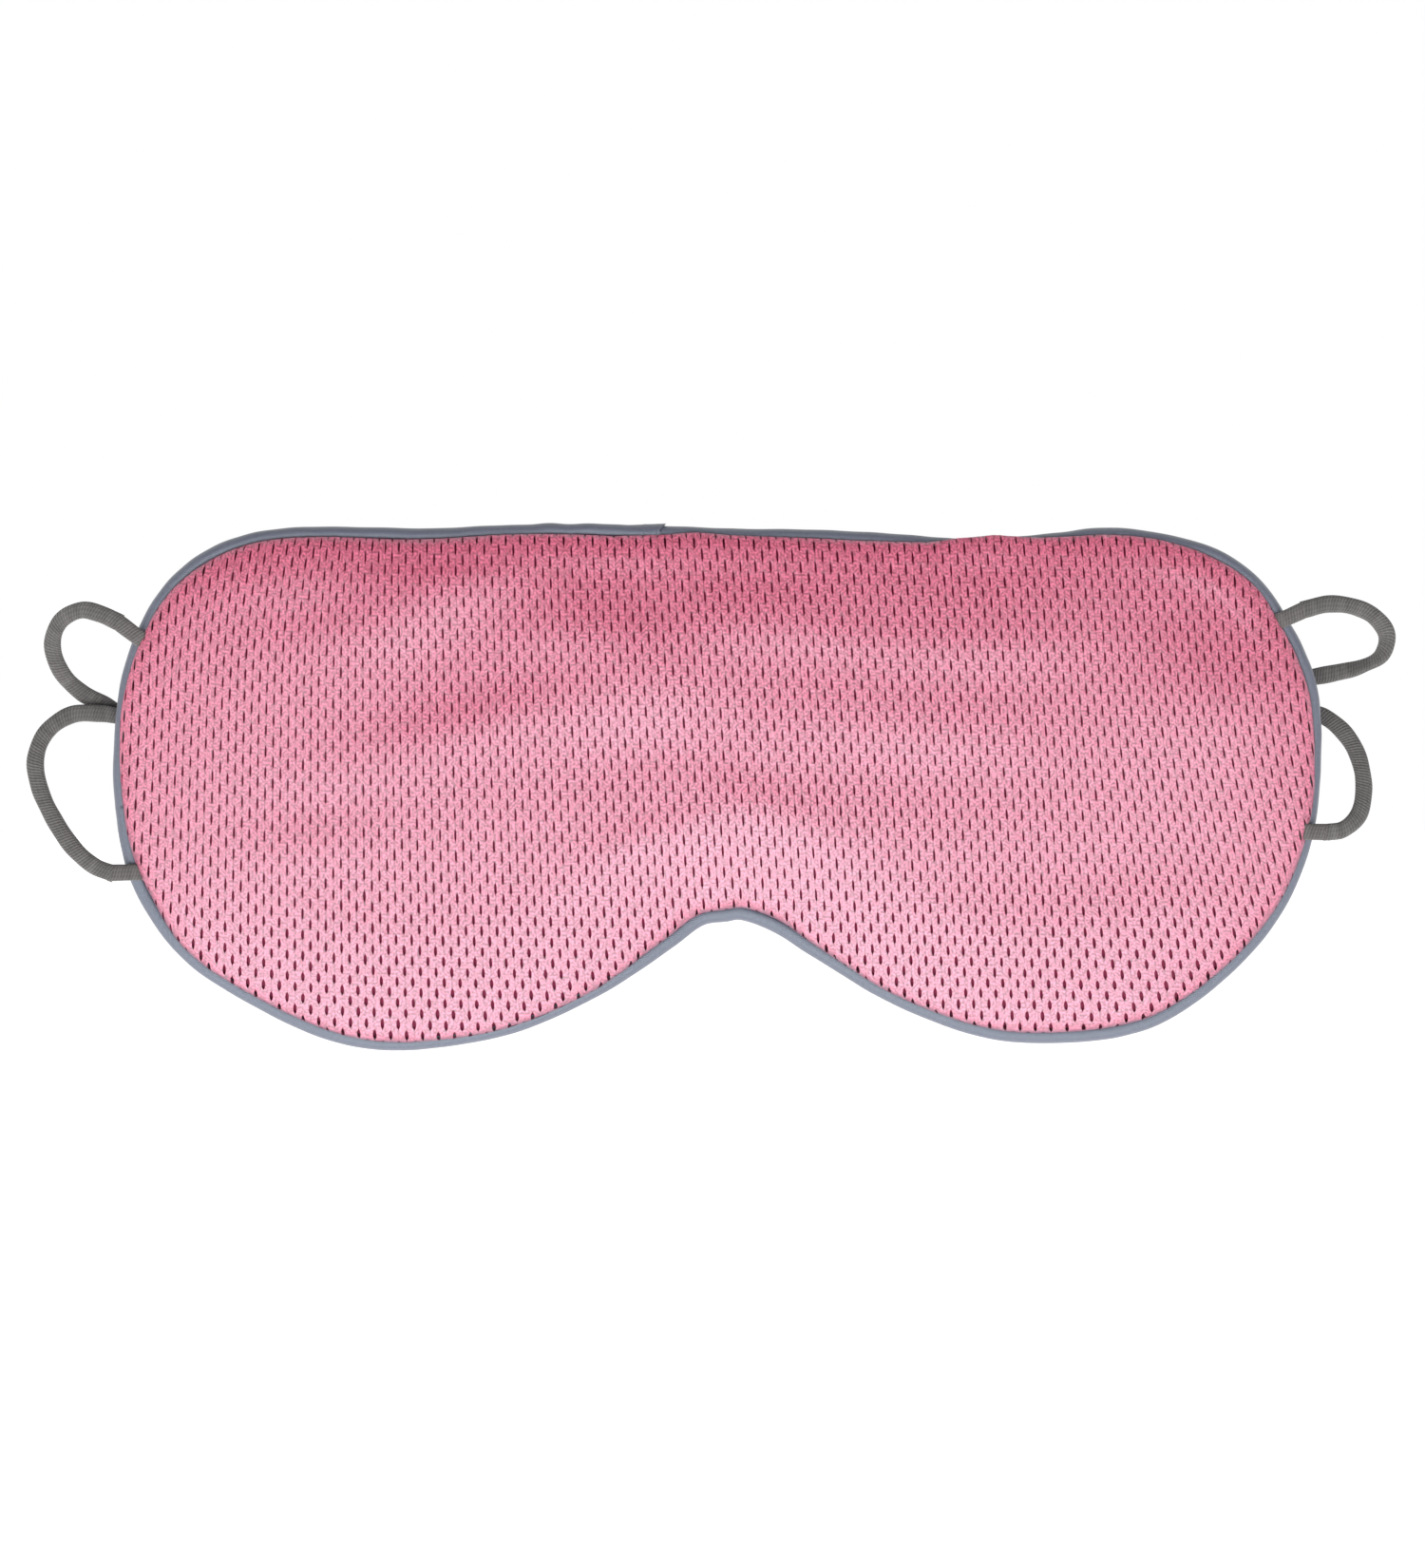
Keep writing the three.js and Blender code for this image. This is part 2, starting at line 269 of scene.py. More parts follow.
def catmull_rom(points, per_span, closed=False):
    """A centripetal Catmull-Rom curve through the points, as the CAD part draws it."""
    p = [np.array(q, float) for q in points]
    n = len(p)
    curve = []
    for i in range(n if closed else n - 1):
        a = p[i]
        b = p[(i + 1) % n]
        before = p[i - 1] if closed or i else 2 * a - b
        after = p[(i + 2) % n] if closed or i + 2 < n else 2 * b - a
        t0 = 0.0
        t1 = t0 + math.sqrt(np.linalg.norm(a - before))
        t2 = t1 + math.sqrt(np.linalg.norm(b - a))
        t3 = t2 + math.sqrt(np.linalg.norm(after - b))
        for t in np.linspace(t1, t2, per_span, endpoint=False):
            a1 = ((t1 - t) * before + (t - t0) * a) / (t1 - t0)
            a2 = ((t2 - t) * a + (t - t1) * b) / (t2 - t1)
            a3 = ((t3 - t) * b + (t - t2) * after) / (t3 - t2)
            b1 = ((t2 - t) * a1 + (t - t0) * a2) / (t2 - t0)
            b2 = ((t3 - t) * a2 + (t - t1) * a3) / (t3 - t1)
            curve.append(((t2 - t) * b1 + (t - t1) * b2) / (t2 - t1))
    if not closed:
        curve.append(p[-1])
    return np.array(curve)


def even_steps(curve, step, closed=False):
    """The curve again with points about a step apart."""
    line = np.vstack((curve, curve[:1])) if closed else curve
    run = np.concatenate(([0], np.cumsum(np.linalg.norm(np.diff(line, axis=0), axis=1))))
    count = max(2, round(run[-1] / step))
    at = np.linspace(0, run[-1], count, endpoint=False) if closed else np.linspace(0, run[-1], count + 1)
    return np.column_stack([np.interp(at, run, line[:, k]) for k in range(line.shape[1])])


def new_mesh(name, points, faces):
    """A smooth-shaded mesh object from plan points."""
    mesh = bpy.data.meshes.new(name)
    mesh.from_pydata(world(points).tolist(), [], faces)
    mesh.update()
    mesh.shade_smooth()
    piece = bpy.data.objects.new(name, mesh)
    bpy.context.scene.collection.objects.link(piece)
    return piece


def set_weave(piece, coordinates):
    """Stores each vertex's place along the cloth, so that knit and weave stay with the cloth."""
    attribute = piece.data.attributes.new("weave", "FLOAT_VECTOR", "POINT")
    attribute.data.foreach_set("vector", np.asarray(coordinates, np.float32).ravel())


def swept(rings, closed):
    """Faces of a tube through equal rings of points, capped where it is open."""
    count, around = len(rings), len(rings[0])
    faces = []
    for i in range(count if closed else count - 1):
        a = i * around
        b = ((i + 1) % count) * around
        for k in range(around):
            m = (k + 1) % around
            faces.append((a + k, a + m, b + m, b + k))
    if not closed:
        faces.append(tuple(range(around))[::-1])
        faces.append(tuple(range((count - 1) * around, count * around)))
    return faces


def shifted(faces, by):
    """The faces with every point's number raised."""
    return [tuple(by + v for v in f) for f in faces]


def staggered(pitch, row_pitch, half_width, half_height):
    """Lattice points about the middle, where every other row lies half a pitch along."""
    rows = int(half_height / row_pitch)
    columns = int(half_width / pitch)
    return np.array(
        [
            ((i + 0.5 * (j % 2)) * pitch, j * row_pitch)
            for j in range(-rows, rows + 1)
            for i in range(-columns, columns + 1)
        ]
    )


def across_fold(piece):
    """Bakes a piece's transform into its mesh."""
    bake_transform(piece)


# ---- ear loops ----


def elastic_rings(centre, width, thickness, turns=()):
    """Rings of a soft flat tube along a line of plan points, and the distance along to each.

    turns lists places where the elastic twists: its distance along, the length over which it
    turns, and by how many degrees it turns there and back.
    """
    along = np.gradient(centre, axis=0)
    along /= np.linalg.norm(along, axis=1)[:, None]
    run = np.concatenate(([0], np.cumsum(np.linalg.norm(np.diff(centre, axis=0), axis=1))))
    front = np.array([0.0, 0.0, 1.0])
    flat = np.cross(front, along)
    flat /= np.linalg.norm(flat, axis=1)[:, None]
    up = np.cross(along, flat)
    turn = np.zeros(len(centre))
    for place, length, degrees in turns:
        turn += math.radians(degrees) * np.exp(-(((run - place) / length) ** 2))
    # The knit's width is a little uneven.
    wide = width * (1 + 0.025 * np.sin(run / 2.1) + 0.02 * np.sin(run / 0.83 + 1))
    rings = []
    for i, point in enumerate(centre):
        side = flat[i] * math.cos(turn[i]) + up[i] * math.sin(turn[i])
        face = up[i] * math.cos(turn[i]) - flat[i] * math.sin(turn[i])
        for k in range(ELASTIC_SIDES):
            angle = 2 * math.pi * k / ELASTIC_SIDES
            c, s = math.cos(angle), math.sin(angle)
            a = math.copysign(abs(c) ** ELASTIC_SQUARE, c) * wide[i] / 2
            b = math.copysign(abs(s) ** ELASTIC_SQUARE, s) * thickness[i] / 2
            rings.append(point + side * a + face * b)
    return np.array(rings).reshape(len(centre), ELASTIC_SIDES, 3), run


def rounded_end(line, thickness):
    """The line run on past its end, and the elastic's thickness there as it rounds off."""
    ahead = line[-1] - line[-2]
    ahead /= np.linalg.norm(ahead)
    angles = np.radians((20, 40, 58, 72, 82))
    beyond = line[-1] + np.outer(np.sin(angles) * thickness[-1] / 2, ahead)
    return np.vstack((line, beyond)), np.concatenate((thickness, np.cos(angles) * thickness[-1]))


def add_elastic(name, centre, width, thickness, turns=()):
    """A length of elastic along a line, with a thickness for each of its points."""
    rings, run = elastic_rings(centre, width, thickness, turns)
    piece = new_mesh(name, rings.reshape(-1, 3), swept(rings, closed=False))
    around = np.arange(ELASTIC_SIDES) / ELASTIC_SIDES
    place = [(u, v, 0) for u in run for v in around]
    set_weave(piece, place)
    return piece


def add_ear_loop(side, route, turns):
    """A loop that lies free between its two sewn ends."""
    line = even_steps(catmull_rom(route, 12), ELASTIC_STEP)
    centre, thickness = rounded_end(line, np.full(len(line), ELASTIC_THICKNESS))
    centre, thickness = rounded_end(centre[::-1], thickness[::-1])
    name = side + "_ear_loop_elastic"
    piece = add_elastic(name, centre[::-1], ELASTIC_WIDTH, thickness[::-1], turns)
    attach(piece, side + "_loop")
    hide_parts(side + "_ear_loop")
    return piece


# Each loop twists in one place.
loops = [
    add_ear_loop("left", LEFT_ROUTE, [(14.5, 3.0, 20)]),
    add_ear_loop("right", RIGHT_ROUTE, [(24.0, 5.0, 50)]),
]


# ---- the mask's edge ----


RIM_ROUNDING = 0.9  # the CAD rim's upright wall ends this far behind its front
RIM_TOLERANCE = 0.05
HALVES_GAP = 0.6  # the CAD halves' ends are less than this apart
RIM_STEP = 0.5


def rim_of_binding():
    """The CAD binding's outer rim as (x, z) points in order round the mask."""
    shoulder = -binding_low[1] - RIM_ROUNDING
    found = set()
    for side in ("left", "right"):
        for vertex in frame["nodes"]["edge_binding_" + side].data.vertices:
            x, y, z = (c / MM for c in vertex.co)
            if abs(-y - shoulder) < RIM_TOLERANCE:
                found.add((round(x, 2), round(z, 2)))
    points = sorted(found, key=lambda p: math.atan2(p[1], p[0]))
    merged = []  # the two halves' ends, which nearly meet, become one point
    for p in points:
        if merged and math.dist(merged[-1], p) < HALVES_GAP:
            merged[-1] = tuple((a + b) / 2 for a, b in zip(merged[-1], p))
        else:
            merged.append(p)
    return merged


rim = even_steps(catmull_rom(rim_of_binding(), 16, closed=True), RIM_STEP, closed=True)
rim_along = np.roll(rim, -1, axis=0) - np.roll(rim, 1, axis=0)
rim_along /= np.linalg.norm(rim_along, axis=1)[:, None]
rim_inward = np.column_stack((-rim_along[:, 1], rim_along[:, 0]))
rim_angle = np.degrees(np.arctan2(rim[:, 1], rim[:, 0]))
rim_shows = np.interp(rim_angle, *np.array(BINDING_SHOWS).T)
rim_below = smoothstep(0.15, -0.25, np.sin(np.radians(rim_angle)))  # 1 along the lower edge, 0 on top

rim_tree = kdtree.KDTree(len(rim))
for rim_index, rim_point in enumerate(rim):
    rim_tree.insert((rim_point[0], rim_point[1], 0), rim_index)
rim_tree.balance()


def from_edge(plan):
    """For each plan point, its distance inside the edge and the nearest rim step."""
    nearest = np.array([rim_tree.find((x, z, 0))[1] for x, z in plan])
    inset = np.sum((plan - rim[nearest]) * rim_inward[nearest], axis=1)
    return inset, nearest


# ---- the padded shape ----


def margin(inset):
    """The rounded margin: 0 at the edge and 1 where the padding is at full height."""
    t = np.clip(1 - inset / MARGIN, 0, 1)
    return np.sqrt(1 - t * t)


def crown(plan):
    """The gentle crown of the padding, highest over the two eyes."""
    x, z = plan[:, 0], plan[:, 1]
    upright = 1 - ((z - CROWN_MIDDLE) / CROWN_HALF_HEIGHT) ** 2
    sideways = 1 - (np.abs(x) / HALF_WIDTH) ** 4
    return np.clip(upright, 0, 1) * np.clip(sideways, 0, 1)


def undulation(plan):
    """The soft ripples, placed as listed."""
    total = np.zeros(len(plan))
    for x, z, width, height, turn, slope in RIPPLES:
        c, s = math.cos(math.radians(turn)), math.sin(math.radians(turn))
        across = (plan[:, 0] - x) * c + (plan[:, 1] - z) * s
        up = (plan[:, 1] - z) * c - (plan[:, 0] - x) * s
        total += slope * up * np.exp(-0.5 * ((across / width) ** 2 + (up / height) ** 2))
    return total


def front_height(plan, inset):
    """Height of the front cover over the sewn edge's middle."""
    ripples = undulation(plan) * smoothstep(2, 9, inset)
    crowned = CROWN_RISE * crown(plan) * smoothstep(0, 20, inset)
    return SEAM_RISE + MARGIN_RISE * margin(inset) + crowned + ripples


def back_height(plan, inset):
    """Height of the lining behind the sewn edge's middle, with the seam's puckers round it."""
    _, nearest = from_edge(plan)
    run = nearest * RIM_STEP
    pucker = np.sin(run / 1.4 + 1.5 * np.sin(run / 9)) * smoothstep(2, 5, inset) * np.exp(-inset / 7)
    sag = np.sin(plan[:, 0] / 13 + plan[:, 1] / 31) * np.sin(plan[:, 1] / 11 - plan[:, 0] / 47)
    loose = PUCKER * pucker + SAG * sag * smoothstep(6, 16, inset)
    return SEAM_RISE + LINING_RISE * margin(inset) + loose


def bezier(a, b, c, d, t):
    """The cubic curve's value at t, from a at 0 to d at 1."""
    s = 1 - t
    return s**3 * a + 3 * s * s * t * b + 3 * s * t * t * c + t**3 * d


def on_cloth(plan, side, height, lower=0.0):
    """Plan points as (x, z, depth) on the cover (side 1) or the lining (side -1).

    Near the edge the cloth bulges out over the binding and rolls back under it, and a point keeps
    its distance along the cloth. lower sinks the surface into the padding, for the layers below.
    """
    plan = np.asarray(plan, float)
    inset, nearest = from_edge(plan)
    inward = rim_inward[nearest]
    foot = plan - inward * inset[:, None]
    shoulder = height(foot + inward * ROLL, np.full(len(plan), ROLL))
    slope = MARGIN_RISE * (1 - ROLL / MARGIN) / MARGIN / margin(np.array([ROLL]))[0]
    shows = rim_shows[nearest] if side > 0 else np.full(len(plan), BINDING_BEHIND)
    bulge = BULGE + (shows - BULGE_SHOWS) / BULGE_SHARE + lower

    def rolled(t):
        """Distance inside the edge, from the end that is rolled under to the shoulder."""
        return bezier(ROLL_UNDER + lower, bulge, ROLL - ROLL_PULL, ROLL, t)

    def risen(t):
        """Height over the sewn edge's middle."""
        return bezier(ROLL_FOOT, BULGE_HEIGHT, shoulder - ROLL_PULL * slope, shoulder, t)

    steps = np.linspace(1, 0, ROLL_STEPS + 1)
    line = np.array([np.column_stack((rolled(t), risen(t))) for t in steps])
    lengths = np.linalg.norm(np.diff(line, axis=0), axis=2)
    turn = np.sum(lengths[:ROLL_TURN], axis=0)
    # Points near the turn are drawn onto it, so that the cloth's outline there runs smooth.
    left = ROLL - inset  # how far along the cloth the point lies beyond the shoulder
    left = np.where(left < turn - TURN_REACH, left * turn / (turn - TURN_REACH), left)
    left = np.where(left > turn + TURN_REACH, left - TURN_REACH, np.minimum(left, turn))
    place = np.ones(len(plan))
    for length in lengths:
        place -= np.clip(left / length, 0, 1) / ROLL_STEPS
        left = left - length
    near_edge = inset < ROLL
    placed = np.where(near_edge[:, None], foot + inward * rolled(place)[:, None], plan)
    high = np.where(near_edge, risen(place), height(plan, inset)) - lower
    return np.column_stack((placed, EDGE_DEPTH + side * high))


def cloth_grid(spacing, border):
    """Plan points and triangles that fill the outline, a border's width inside the edge."""
    loop = even_steps(rim + rim_inward * border, spacing, closed=True)
    lattice = staggered(spacing, spacing * 0.87, HALF_WIDTH, HALF_HEIGHT)
    inset, _ = from_edge(lattice)
    inner = lattice[inset > border + spacing * 0.6]  # clear of the outline's own points
    points = [tuple(p) for p in (*loop, *inner)]
    outline = [list(range(len(loop)))]
    made = geometry.delaunay_2d_cdt([Vector(p) for p in points], [], outline, 1, 1e-4)
    vertices = np.array([tuple(v) for v in made[0]])
    return vertices, [tuple(f) for f in made[2]]


# ---- front cover ----


def ramp(x):
    """0 well below zero and x well above it, with a soft bend 5 mm long between."""
    return 5 * np.log1p(np.exp(x / 5))


def warp(lattice):
    """The mesh as it was cut and pulled: its rows slope and curve, its columns lean and fan out."""
    u, v = lattice[:, 0], lattice[:, 1]
    left = np.clip(-40 - u, 0, None)
    right = np.clip(u - 50, 0, None)
    # Rows drop to the right, and turn up towards both sides.
    z = v - 0.02 * u + 2.1e-5 * left**3 + 1.0e-5 * right**3
    # Columns lean to the left, and the other way near the left side.
    lean = -0.07 + 0.0009 * np.clip(-u, 0, None) + 0.0004 * left
    # Near the right side they turn outwards below, and near the left side inwards above.
    fan = 0.15 * smoothstep(50, 95, u) * (ramp(12 - v) - ramp(12))
    spread = 0.13 * (1 - smoothstep(-80, -50, u)) * ramp(v - 24)
    return np.column_stack((u + lean * v + fan + spread, z))


def eyelet_cells():
    """Centres of the mesh's eyelets on its own lattice."""
    centres = staggered(EYELET_PITCH, ROW_PITCH, HALF_WIDTH + 19, HALF_HEIGHT + 10)
    inset, _ = from_edge(warp(centres))
    return centres[inset > -MESH_TUCKED]


def front_cover_mesh():
    """The mesh's lattice points, its faces, and how far each point is sunk.

    Each eyelet is a slit in the middle of a six-sided cell.
    """
    top = (EYELET_PITCH**2 / 4 + ROW_PITCH**2) / (2 * ROW_PITCH)
    side = ROW_PITCH - top
    half = EYELET_PITCH / 2
    # The cell has eight points, as the slit has, with one in the middle of each upright side.
    corners = [
        (0, top), (half, side), (half, 0), (half, -side),
        (0, -top), (-half, -side), (-half, 0), (-half, side),
    ]
    index, points, faces, sunk = {}, [], [], []

    def shared(x, z):
        """The index of the cell corner at x, z, which up to three cells share."""
        key = (round(x, 3), round(z, 3))
        if key not in index:
            index[key] = len(points)
            points.append((x, z))
            sunk.append(0.0)
        return index[key]

    centres = eyelet_cells()
    placed = warp(centres)
    for (x, z), (_, pz) in zip(centres, placed):
        # Eyelets are pulled open towards the lower edge, and no two are quite the same size.
        pulled = float(smoothstep(-8, -40, pz))
        length = EYELET_LENGTH / 2 * (1 - 0.22 * pulled) * RNG.uniform(0.93, 1.05)
        width = EYELET_WIDTH / 2 * (1 + 0.6 * pulled) * RNG.uniform(0.9, 1.1)
        upper, wide = length * 0.5, width * 0.85
        slit = [
            (0, length), (wide, upper), (width, 0), (wide, -upper),
            (0, -length), (-wide, -upper), (-width, 0), (-wide, upper),
        ]
        ring = [shared(x + dx, z + dz) for dx, dz in corners]
        hole = list(range(len(points), len(points) + len(slit)))
        points += [(x + dx, z + dz) for dx, dz in slit]
        sunk += [EYELET_SUNK] * len(slit)
        for k in range(len(slit)):
            m = (k + 1) % len(slit)
            faces.append((ring[m], ring[k], hole[k], hole[m]))
    return np.array(points), faces, np.array(sunk)


def thicken(points, under, faces):
    """The points and faces of a closed skin: its face, its underside and the walls between."""
    count = len(points)
    directed = {(f[k], f[(k + 1) % len(f)]) for f in faces for k in range(len(f))}
    walls = [(b, a, a + count, b + count) for a, b in directed if (b, a) not in directed]
    below = [tuple(i + count for i in f[::-1]) for f in faces]
    return np.vstack((points, under)), list(faces) + below + sorted(walls)


def facing(points, faces, forwards):
    """The faces turned so that most of them look forwards, or backwards."""
    a, b, c = (points[[f[k] for f in faces]] for k in range(3))
    depth = np.cross(b - a, c - a)[:, 2]
    # Plan points are (x, z, depth), a left-handed set once world() has placed them.
    turned = np.sum(depth) > 0
    return faces if turned == forwards else [f[::-1] for f in faces]


def painted_seam_shade(points):
    """1 where shade is painted onto the cover at the seam along the lower edge, 0 everywhere else."""
    inset, nearest = from_edge(points[:, :2])
    return (1 - smoothstep(0.1, 0.7, inset - rim_shows[nearest])) * rim_below[nearest]


def add_front_cover():
    """The pink mesh cover, one piece over both halves."""
    lattice, faces, sunk = front_cover_mesh()
    points = on_cloth(warp(lattice), 1, front_height)
    under = on_cloth(warp(lattice), 1, front_height, MESH_THICKNESS)
    points[:, 2] -= sunk
    skin, closed = thicken(points, under, facing(points, faces, True))
    piece = new_mesh("front_cover_mesh", skin, closed)
    piece.data.set_sharp_from_angle(angle=math.radians(50))
    # The weave's third number carries the shade painted along the lower edge's seam.
    set_weave(piece, np.tile(np.column_stack((lattice, painted_seam_shade(points))), (2, 1)))
    across_fold(piece)
    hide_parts("front_cover_left", "front_cover_right")
    return piece


def add_layer(name, side, height, lower, thickness):
    """A plain layer of cloth that follows the cover or the lining at a depth below it."""
    plan, faces = cloth_grid(CLOTH_SPACING, -CLOTH_TUCKED)
    points = on_cloth(plan, side, height, lower)
    under = on_cloth(plan, side, height, lower + thickness)
    skin, closed = thicken(points, under, facing(points, faces, side > 0))
    piece = new_mesh(name, skin, closed)
    set_weave(piece, np.tile(np.column_stack((plan, np.zeros(len(plan)))), (2, 1)))
    across_fold(piece)
    return piece


def add_blackout():
    """The dark cloth that shows through the eyelets."""
    piece = add_layer("blackout_layer_cloth", 1, front_height, BLACKOUT_BELOW, BLACKOUT_THICKNESS)
    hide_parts("blackout_layer_left", "blackout_layer_right")
    return piece


def add_lining():
    """The soft cloth on the skin side."""
    piece = add_layer("back_lining_cloth", -1, back_height, 0.0, LINING_THICKNESS)
    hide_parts("back_lining_left", "back_lining_right")
    return piece


def add_padding():
    """The soft pad between the layers, closed round its edge."""
    plan, faces = cloth_grid(PADDING_SPACING, -CLOTH_TUCKED)
    front = on_cloth(plan, 1, front_height, PADDING_BELOW)
    back = on_cloth(plan, -1, back_height, PADDING_INSIDE)
    skin, closed = thicken(front, back, facing(front, faces, True))
    piece = new_mesh("padding_foam", skin, closed)
    set_weave(piece, skin)
    across_fold(piece)
    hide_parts("padding_left", "padding_right")
    return piece


# ---- binding ----

# The folded tape's section: distance inside the edge and height, out from the front's inner edge.
TAPE_SECTION = [
    (TAPE_WIDTH, 0.72), (1.75, 0.95), (1.0, 0.98), (0.45, 0.72), (0.12, 0.3), (0.0, 0.0),
    (0.12, -0.3), (0.45, -0.72), (1.0, -0.98), (1.75, -0.95), (TAPE_WIDTH, -0.72),
]


def tape_skin(grow):
    """The tape's section at full size, moved out by grow."""
    section = np.array([(d, h * TAPE_HALF) for d, h in TAPE_SECTION])
    tangent = np.gradient(section, axis=0)
    normal = np.column_stack((tangent[:, 1], -tangent[:, 0]))
    normal /= np.linalg.norm(normal, axis=1)[:, None]
    return section + normal * grow


def tape_ripple(run, height):
    """How the tape's edge puckers where it is sewn round the curve."""
    slow = 0.08 * np.sin(run / 2.9 + 0.8 * np.sin(run / 17))
    quick = 0.05 * np.sin(run / 1.07 + 2.0 * np.sin(run / 11))
    return (slow + quick) * (0.6 + 0.4 * np.abs(height))


def tape_rings(steps, outer, inner):
    """Rings of tape round the rim's steps, between an outer and an inner skin."""
    around = np.vstack((outer, inner[::-1]))
    outermost = np.clip(1 - around[:, 0] / TAPE_WIDTH, 0, 1)
    rings = []
    for step in steps:
        run = step * RIM_STEP
        ripple = tape_ripple(run, around[:, 1] / TAPE_HALF)
        # Where the tape is slack, it waves.
        slack = math.exp(-(((rim[step][0] - SLACK_X) / 6) ** 2)) if rim[step][1] > TOP_FROM else 0
        ripple = ripple * (1 - 0.6 * rim_below[step]) + 0.16 * slack * math.sin(run / 1.5)
        inset = around[:, 0] + ripple * 0.8 - TAPE_FULLNESS * rim_below[step] * outermost
        depth = EDGE_DEPTH + around[:, 1] * (1 + 0.12 * ripple)
        place = rim[step] + rim_inward[step] * inset[:, None]
        rings.append(np.column_stack((place, depth)))
    return np.array(rings)


def tape_weave(rings):
    """Place along and across the tape, in millimetres."""
    run = np.concatenate(([0], np.cumsum(np.linalg.norm(np.diff(rings.mean(1), axis=0), axis=1))))
    across = np.concatenate(([0], np.cumsum(np.linalg.norm(np.diff(rings[0], axis=0), axis=1))))
    return np.array([(u, v, 0) for u in run for v in across])


def add_binding():
    """The folded tape, one closed ring round the mask."""
    rings = tape_rings(range(len(rim)), tape_skin(0), tape_skin(-TAPE_CLOTH))
    piece = new_mesh("edge_binding_tape", rings.reshape(-1, 3), swept(rings, closed=True))
    set_weave(piece, tape_weave(rings))
    across_fold(piece)
    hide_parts("edge_binding_left", "edge_binding_right")
    return piece


def lap_layer(steps, rise, thickness, slant):
    """Rings of one layer of the lap, whose end is cut on the slant from the rim inwards."""
    rings = []
    for step, lift, share in zip(steps, rise, np.linspace(0, 1, len(steps))):
        outer, inner = tape_skin(lift), tape_skin(lift - thickness)
        ring = tape_rings([step], outer, inner)[0]
        # The rings lean over little by little, so that only the last ones are fully on the slant.
        inward = np.concatenate((outer[:, 0], inner[::-1, 0])) - TAPE_WIDTH / 2
        ring[:, 0] += slant * inward * float(smoothstep(0.4, 1.0, share))
        rings.append(ring)
    return np.array(rings)


def add_binding_lap():
    """The tape's end lapped over its start at the top, with its corner turned under."""
    top_steps = sorted((i for i in range(len(rim)) if rim[i][1] > TOP_FROM), key=lambda i: rim[i][0])
    steps = [i for i in top_steps if LAP_LOW[0] <= rim[i][0] <= LAP_HIGH[0]]
    corner = [i for i in top_steps if -CORNER_LENGTH <= rim[i][0] - LAP_HIGH[0] <= CORNER_SHOWS]
    rise = np.linspace(LAP_START, LAP_RISE, len(steps))
    top = lap_layer(steps, rise, LAP_CLOTH, LAP_SLANT)
    turned = lap_layer(corner, np.full(len(corner), CORNER_RISE), CORNER_CLOTH, CORNER_SLANT)
    points = np.vstack((top.reshape(-1, 3), turned.reshape(-1, 3)))
    faces = swept(top, closed=False) + shifted(swept(turned, closed=False), len(top) * len(top[0]))
    piece = new_mesh("binding_lap_tape", points, faces)
    set_weave(piece, np.vstack((tape_weave(top), tape_weave(turned))))
    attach(piece, "left_half")
    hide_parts("binding_lap_end")
    return piece


def add_stitches():
    """The row of stitches behind the binding."""
    points, faces = [], []
    pitch = (STITCH_LENGTH + STITCH_GAP) / RIM_STEP
    tape_back = tape_skin(0)[-2][1]
    for n in range(int(len(rim) / pitch)):
        places = np.linspace(n * pitch, n * pitch + STITCH_LENGTH / RIM_STEP, STITCH_RINGS)
        rings = []
        for place in places:
            i = int(round(place)) % len(rim)
            bend = math.sin(math.pi * (place - places[0]) / (places[-1] - places[0]))
            middle = rim[i] + rim_inward[i] * STITCH_INSET
            depth = EDGE_DEPTH + tape_back - STITCH_BULGE * bend + STITCH_SUNK
            for k in range(THREAD_SIDES):
                angle = 2 * math.pi * k / THREAD_SIDES
                side = math.cos(angle) * THREAD / 2
                rings.append((*(middle + rim_inward[i] * side), depth + math.sin(angle) * THREAD / 2))
        shaped = np.array(rings).reshape(STITCH_RINGS, THREAD_SIDES, 3)
        faces += shifted(swept(shaped, closed=False), len(points))
        points += rings
    piece = new_mesh("seam_stitches", np.array(points), faces)
    across_fold(piece)
    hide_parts("seam_thread_left", "seam_thread_right")
    return piece


# ---- the elastics' sewn ends ----


def add_tail(name, half, loop_end):
    """A sewn end of elastic: it comes out from under the cover and meets its loop."""
    start = np.array(loop_end)
    sewn = np.array(SEWN_ENDS[name])
    away = (sewn - start[:2]) / np.linalg.norm(sewn - start[:2])
    inset, nearest = from_edge(sewn[None])
    inward = rim_inward[nearest[0]]
    # A tail that runs in on the slant has further to go to its foot.
    foot = sewn + away * max(0.3, TAIL_REACH - inset[0]) / max(0.5, float(np.dot(away, inward)))
    route = [
        (*foot, EDGE_DEPTH + TAIL_FOOT_HEIGHT),
        (*(sewn + (start[:2] - sewn) * 0.2), EDGE_DEPTH + TAIL_OUT_HEIGHT),
        tuple(start),
    ]
    line = even_steps(catmull_rom(route, 10), ELASTIC_STEP)
    thickness = np.linspace(TAIL_THIN, ELASTIC_THICKNESS * TAIL_SHARE, len(line))
    line, thickness = rounded_end(line, thickness)
    piece = add_elastic(name + "_elastic", line, ELASTIC_WIDTH * TAIL_SHARE, thickness)
    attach(piece, half)
    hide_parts(name)
    return piece


# ---- materials ----


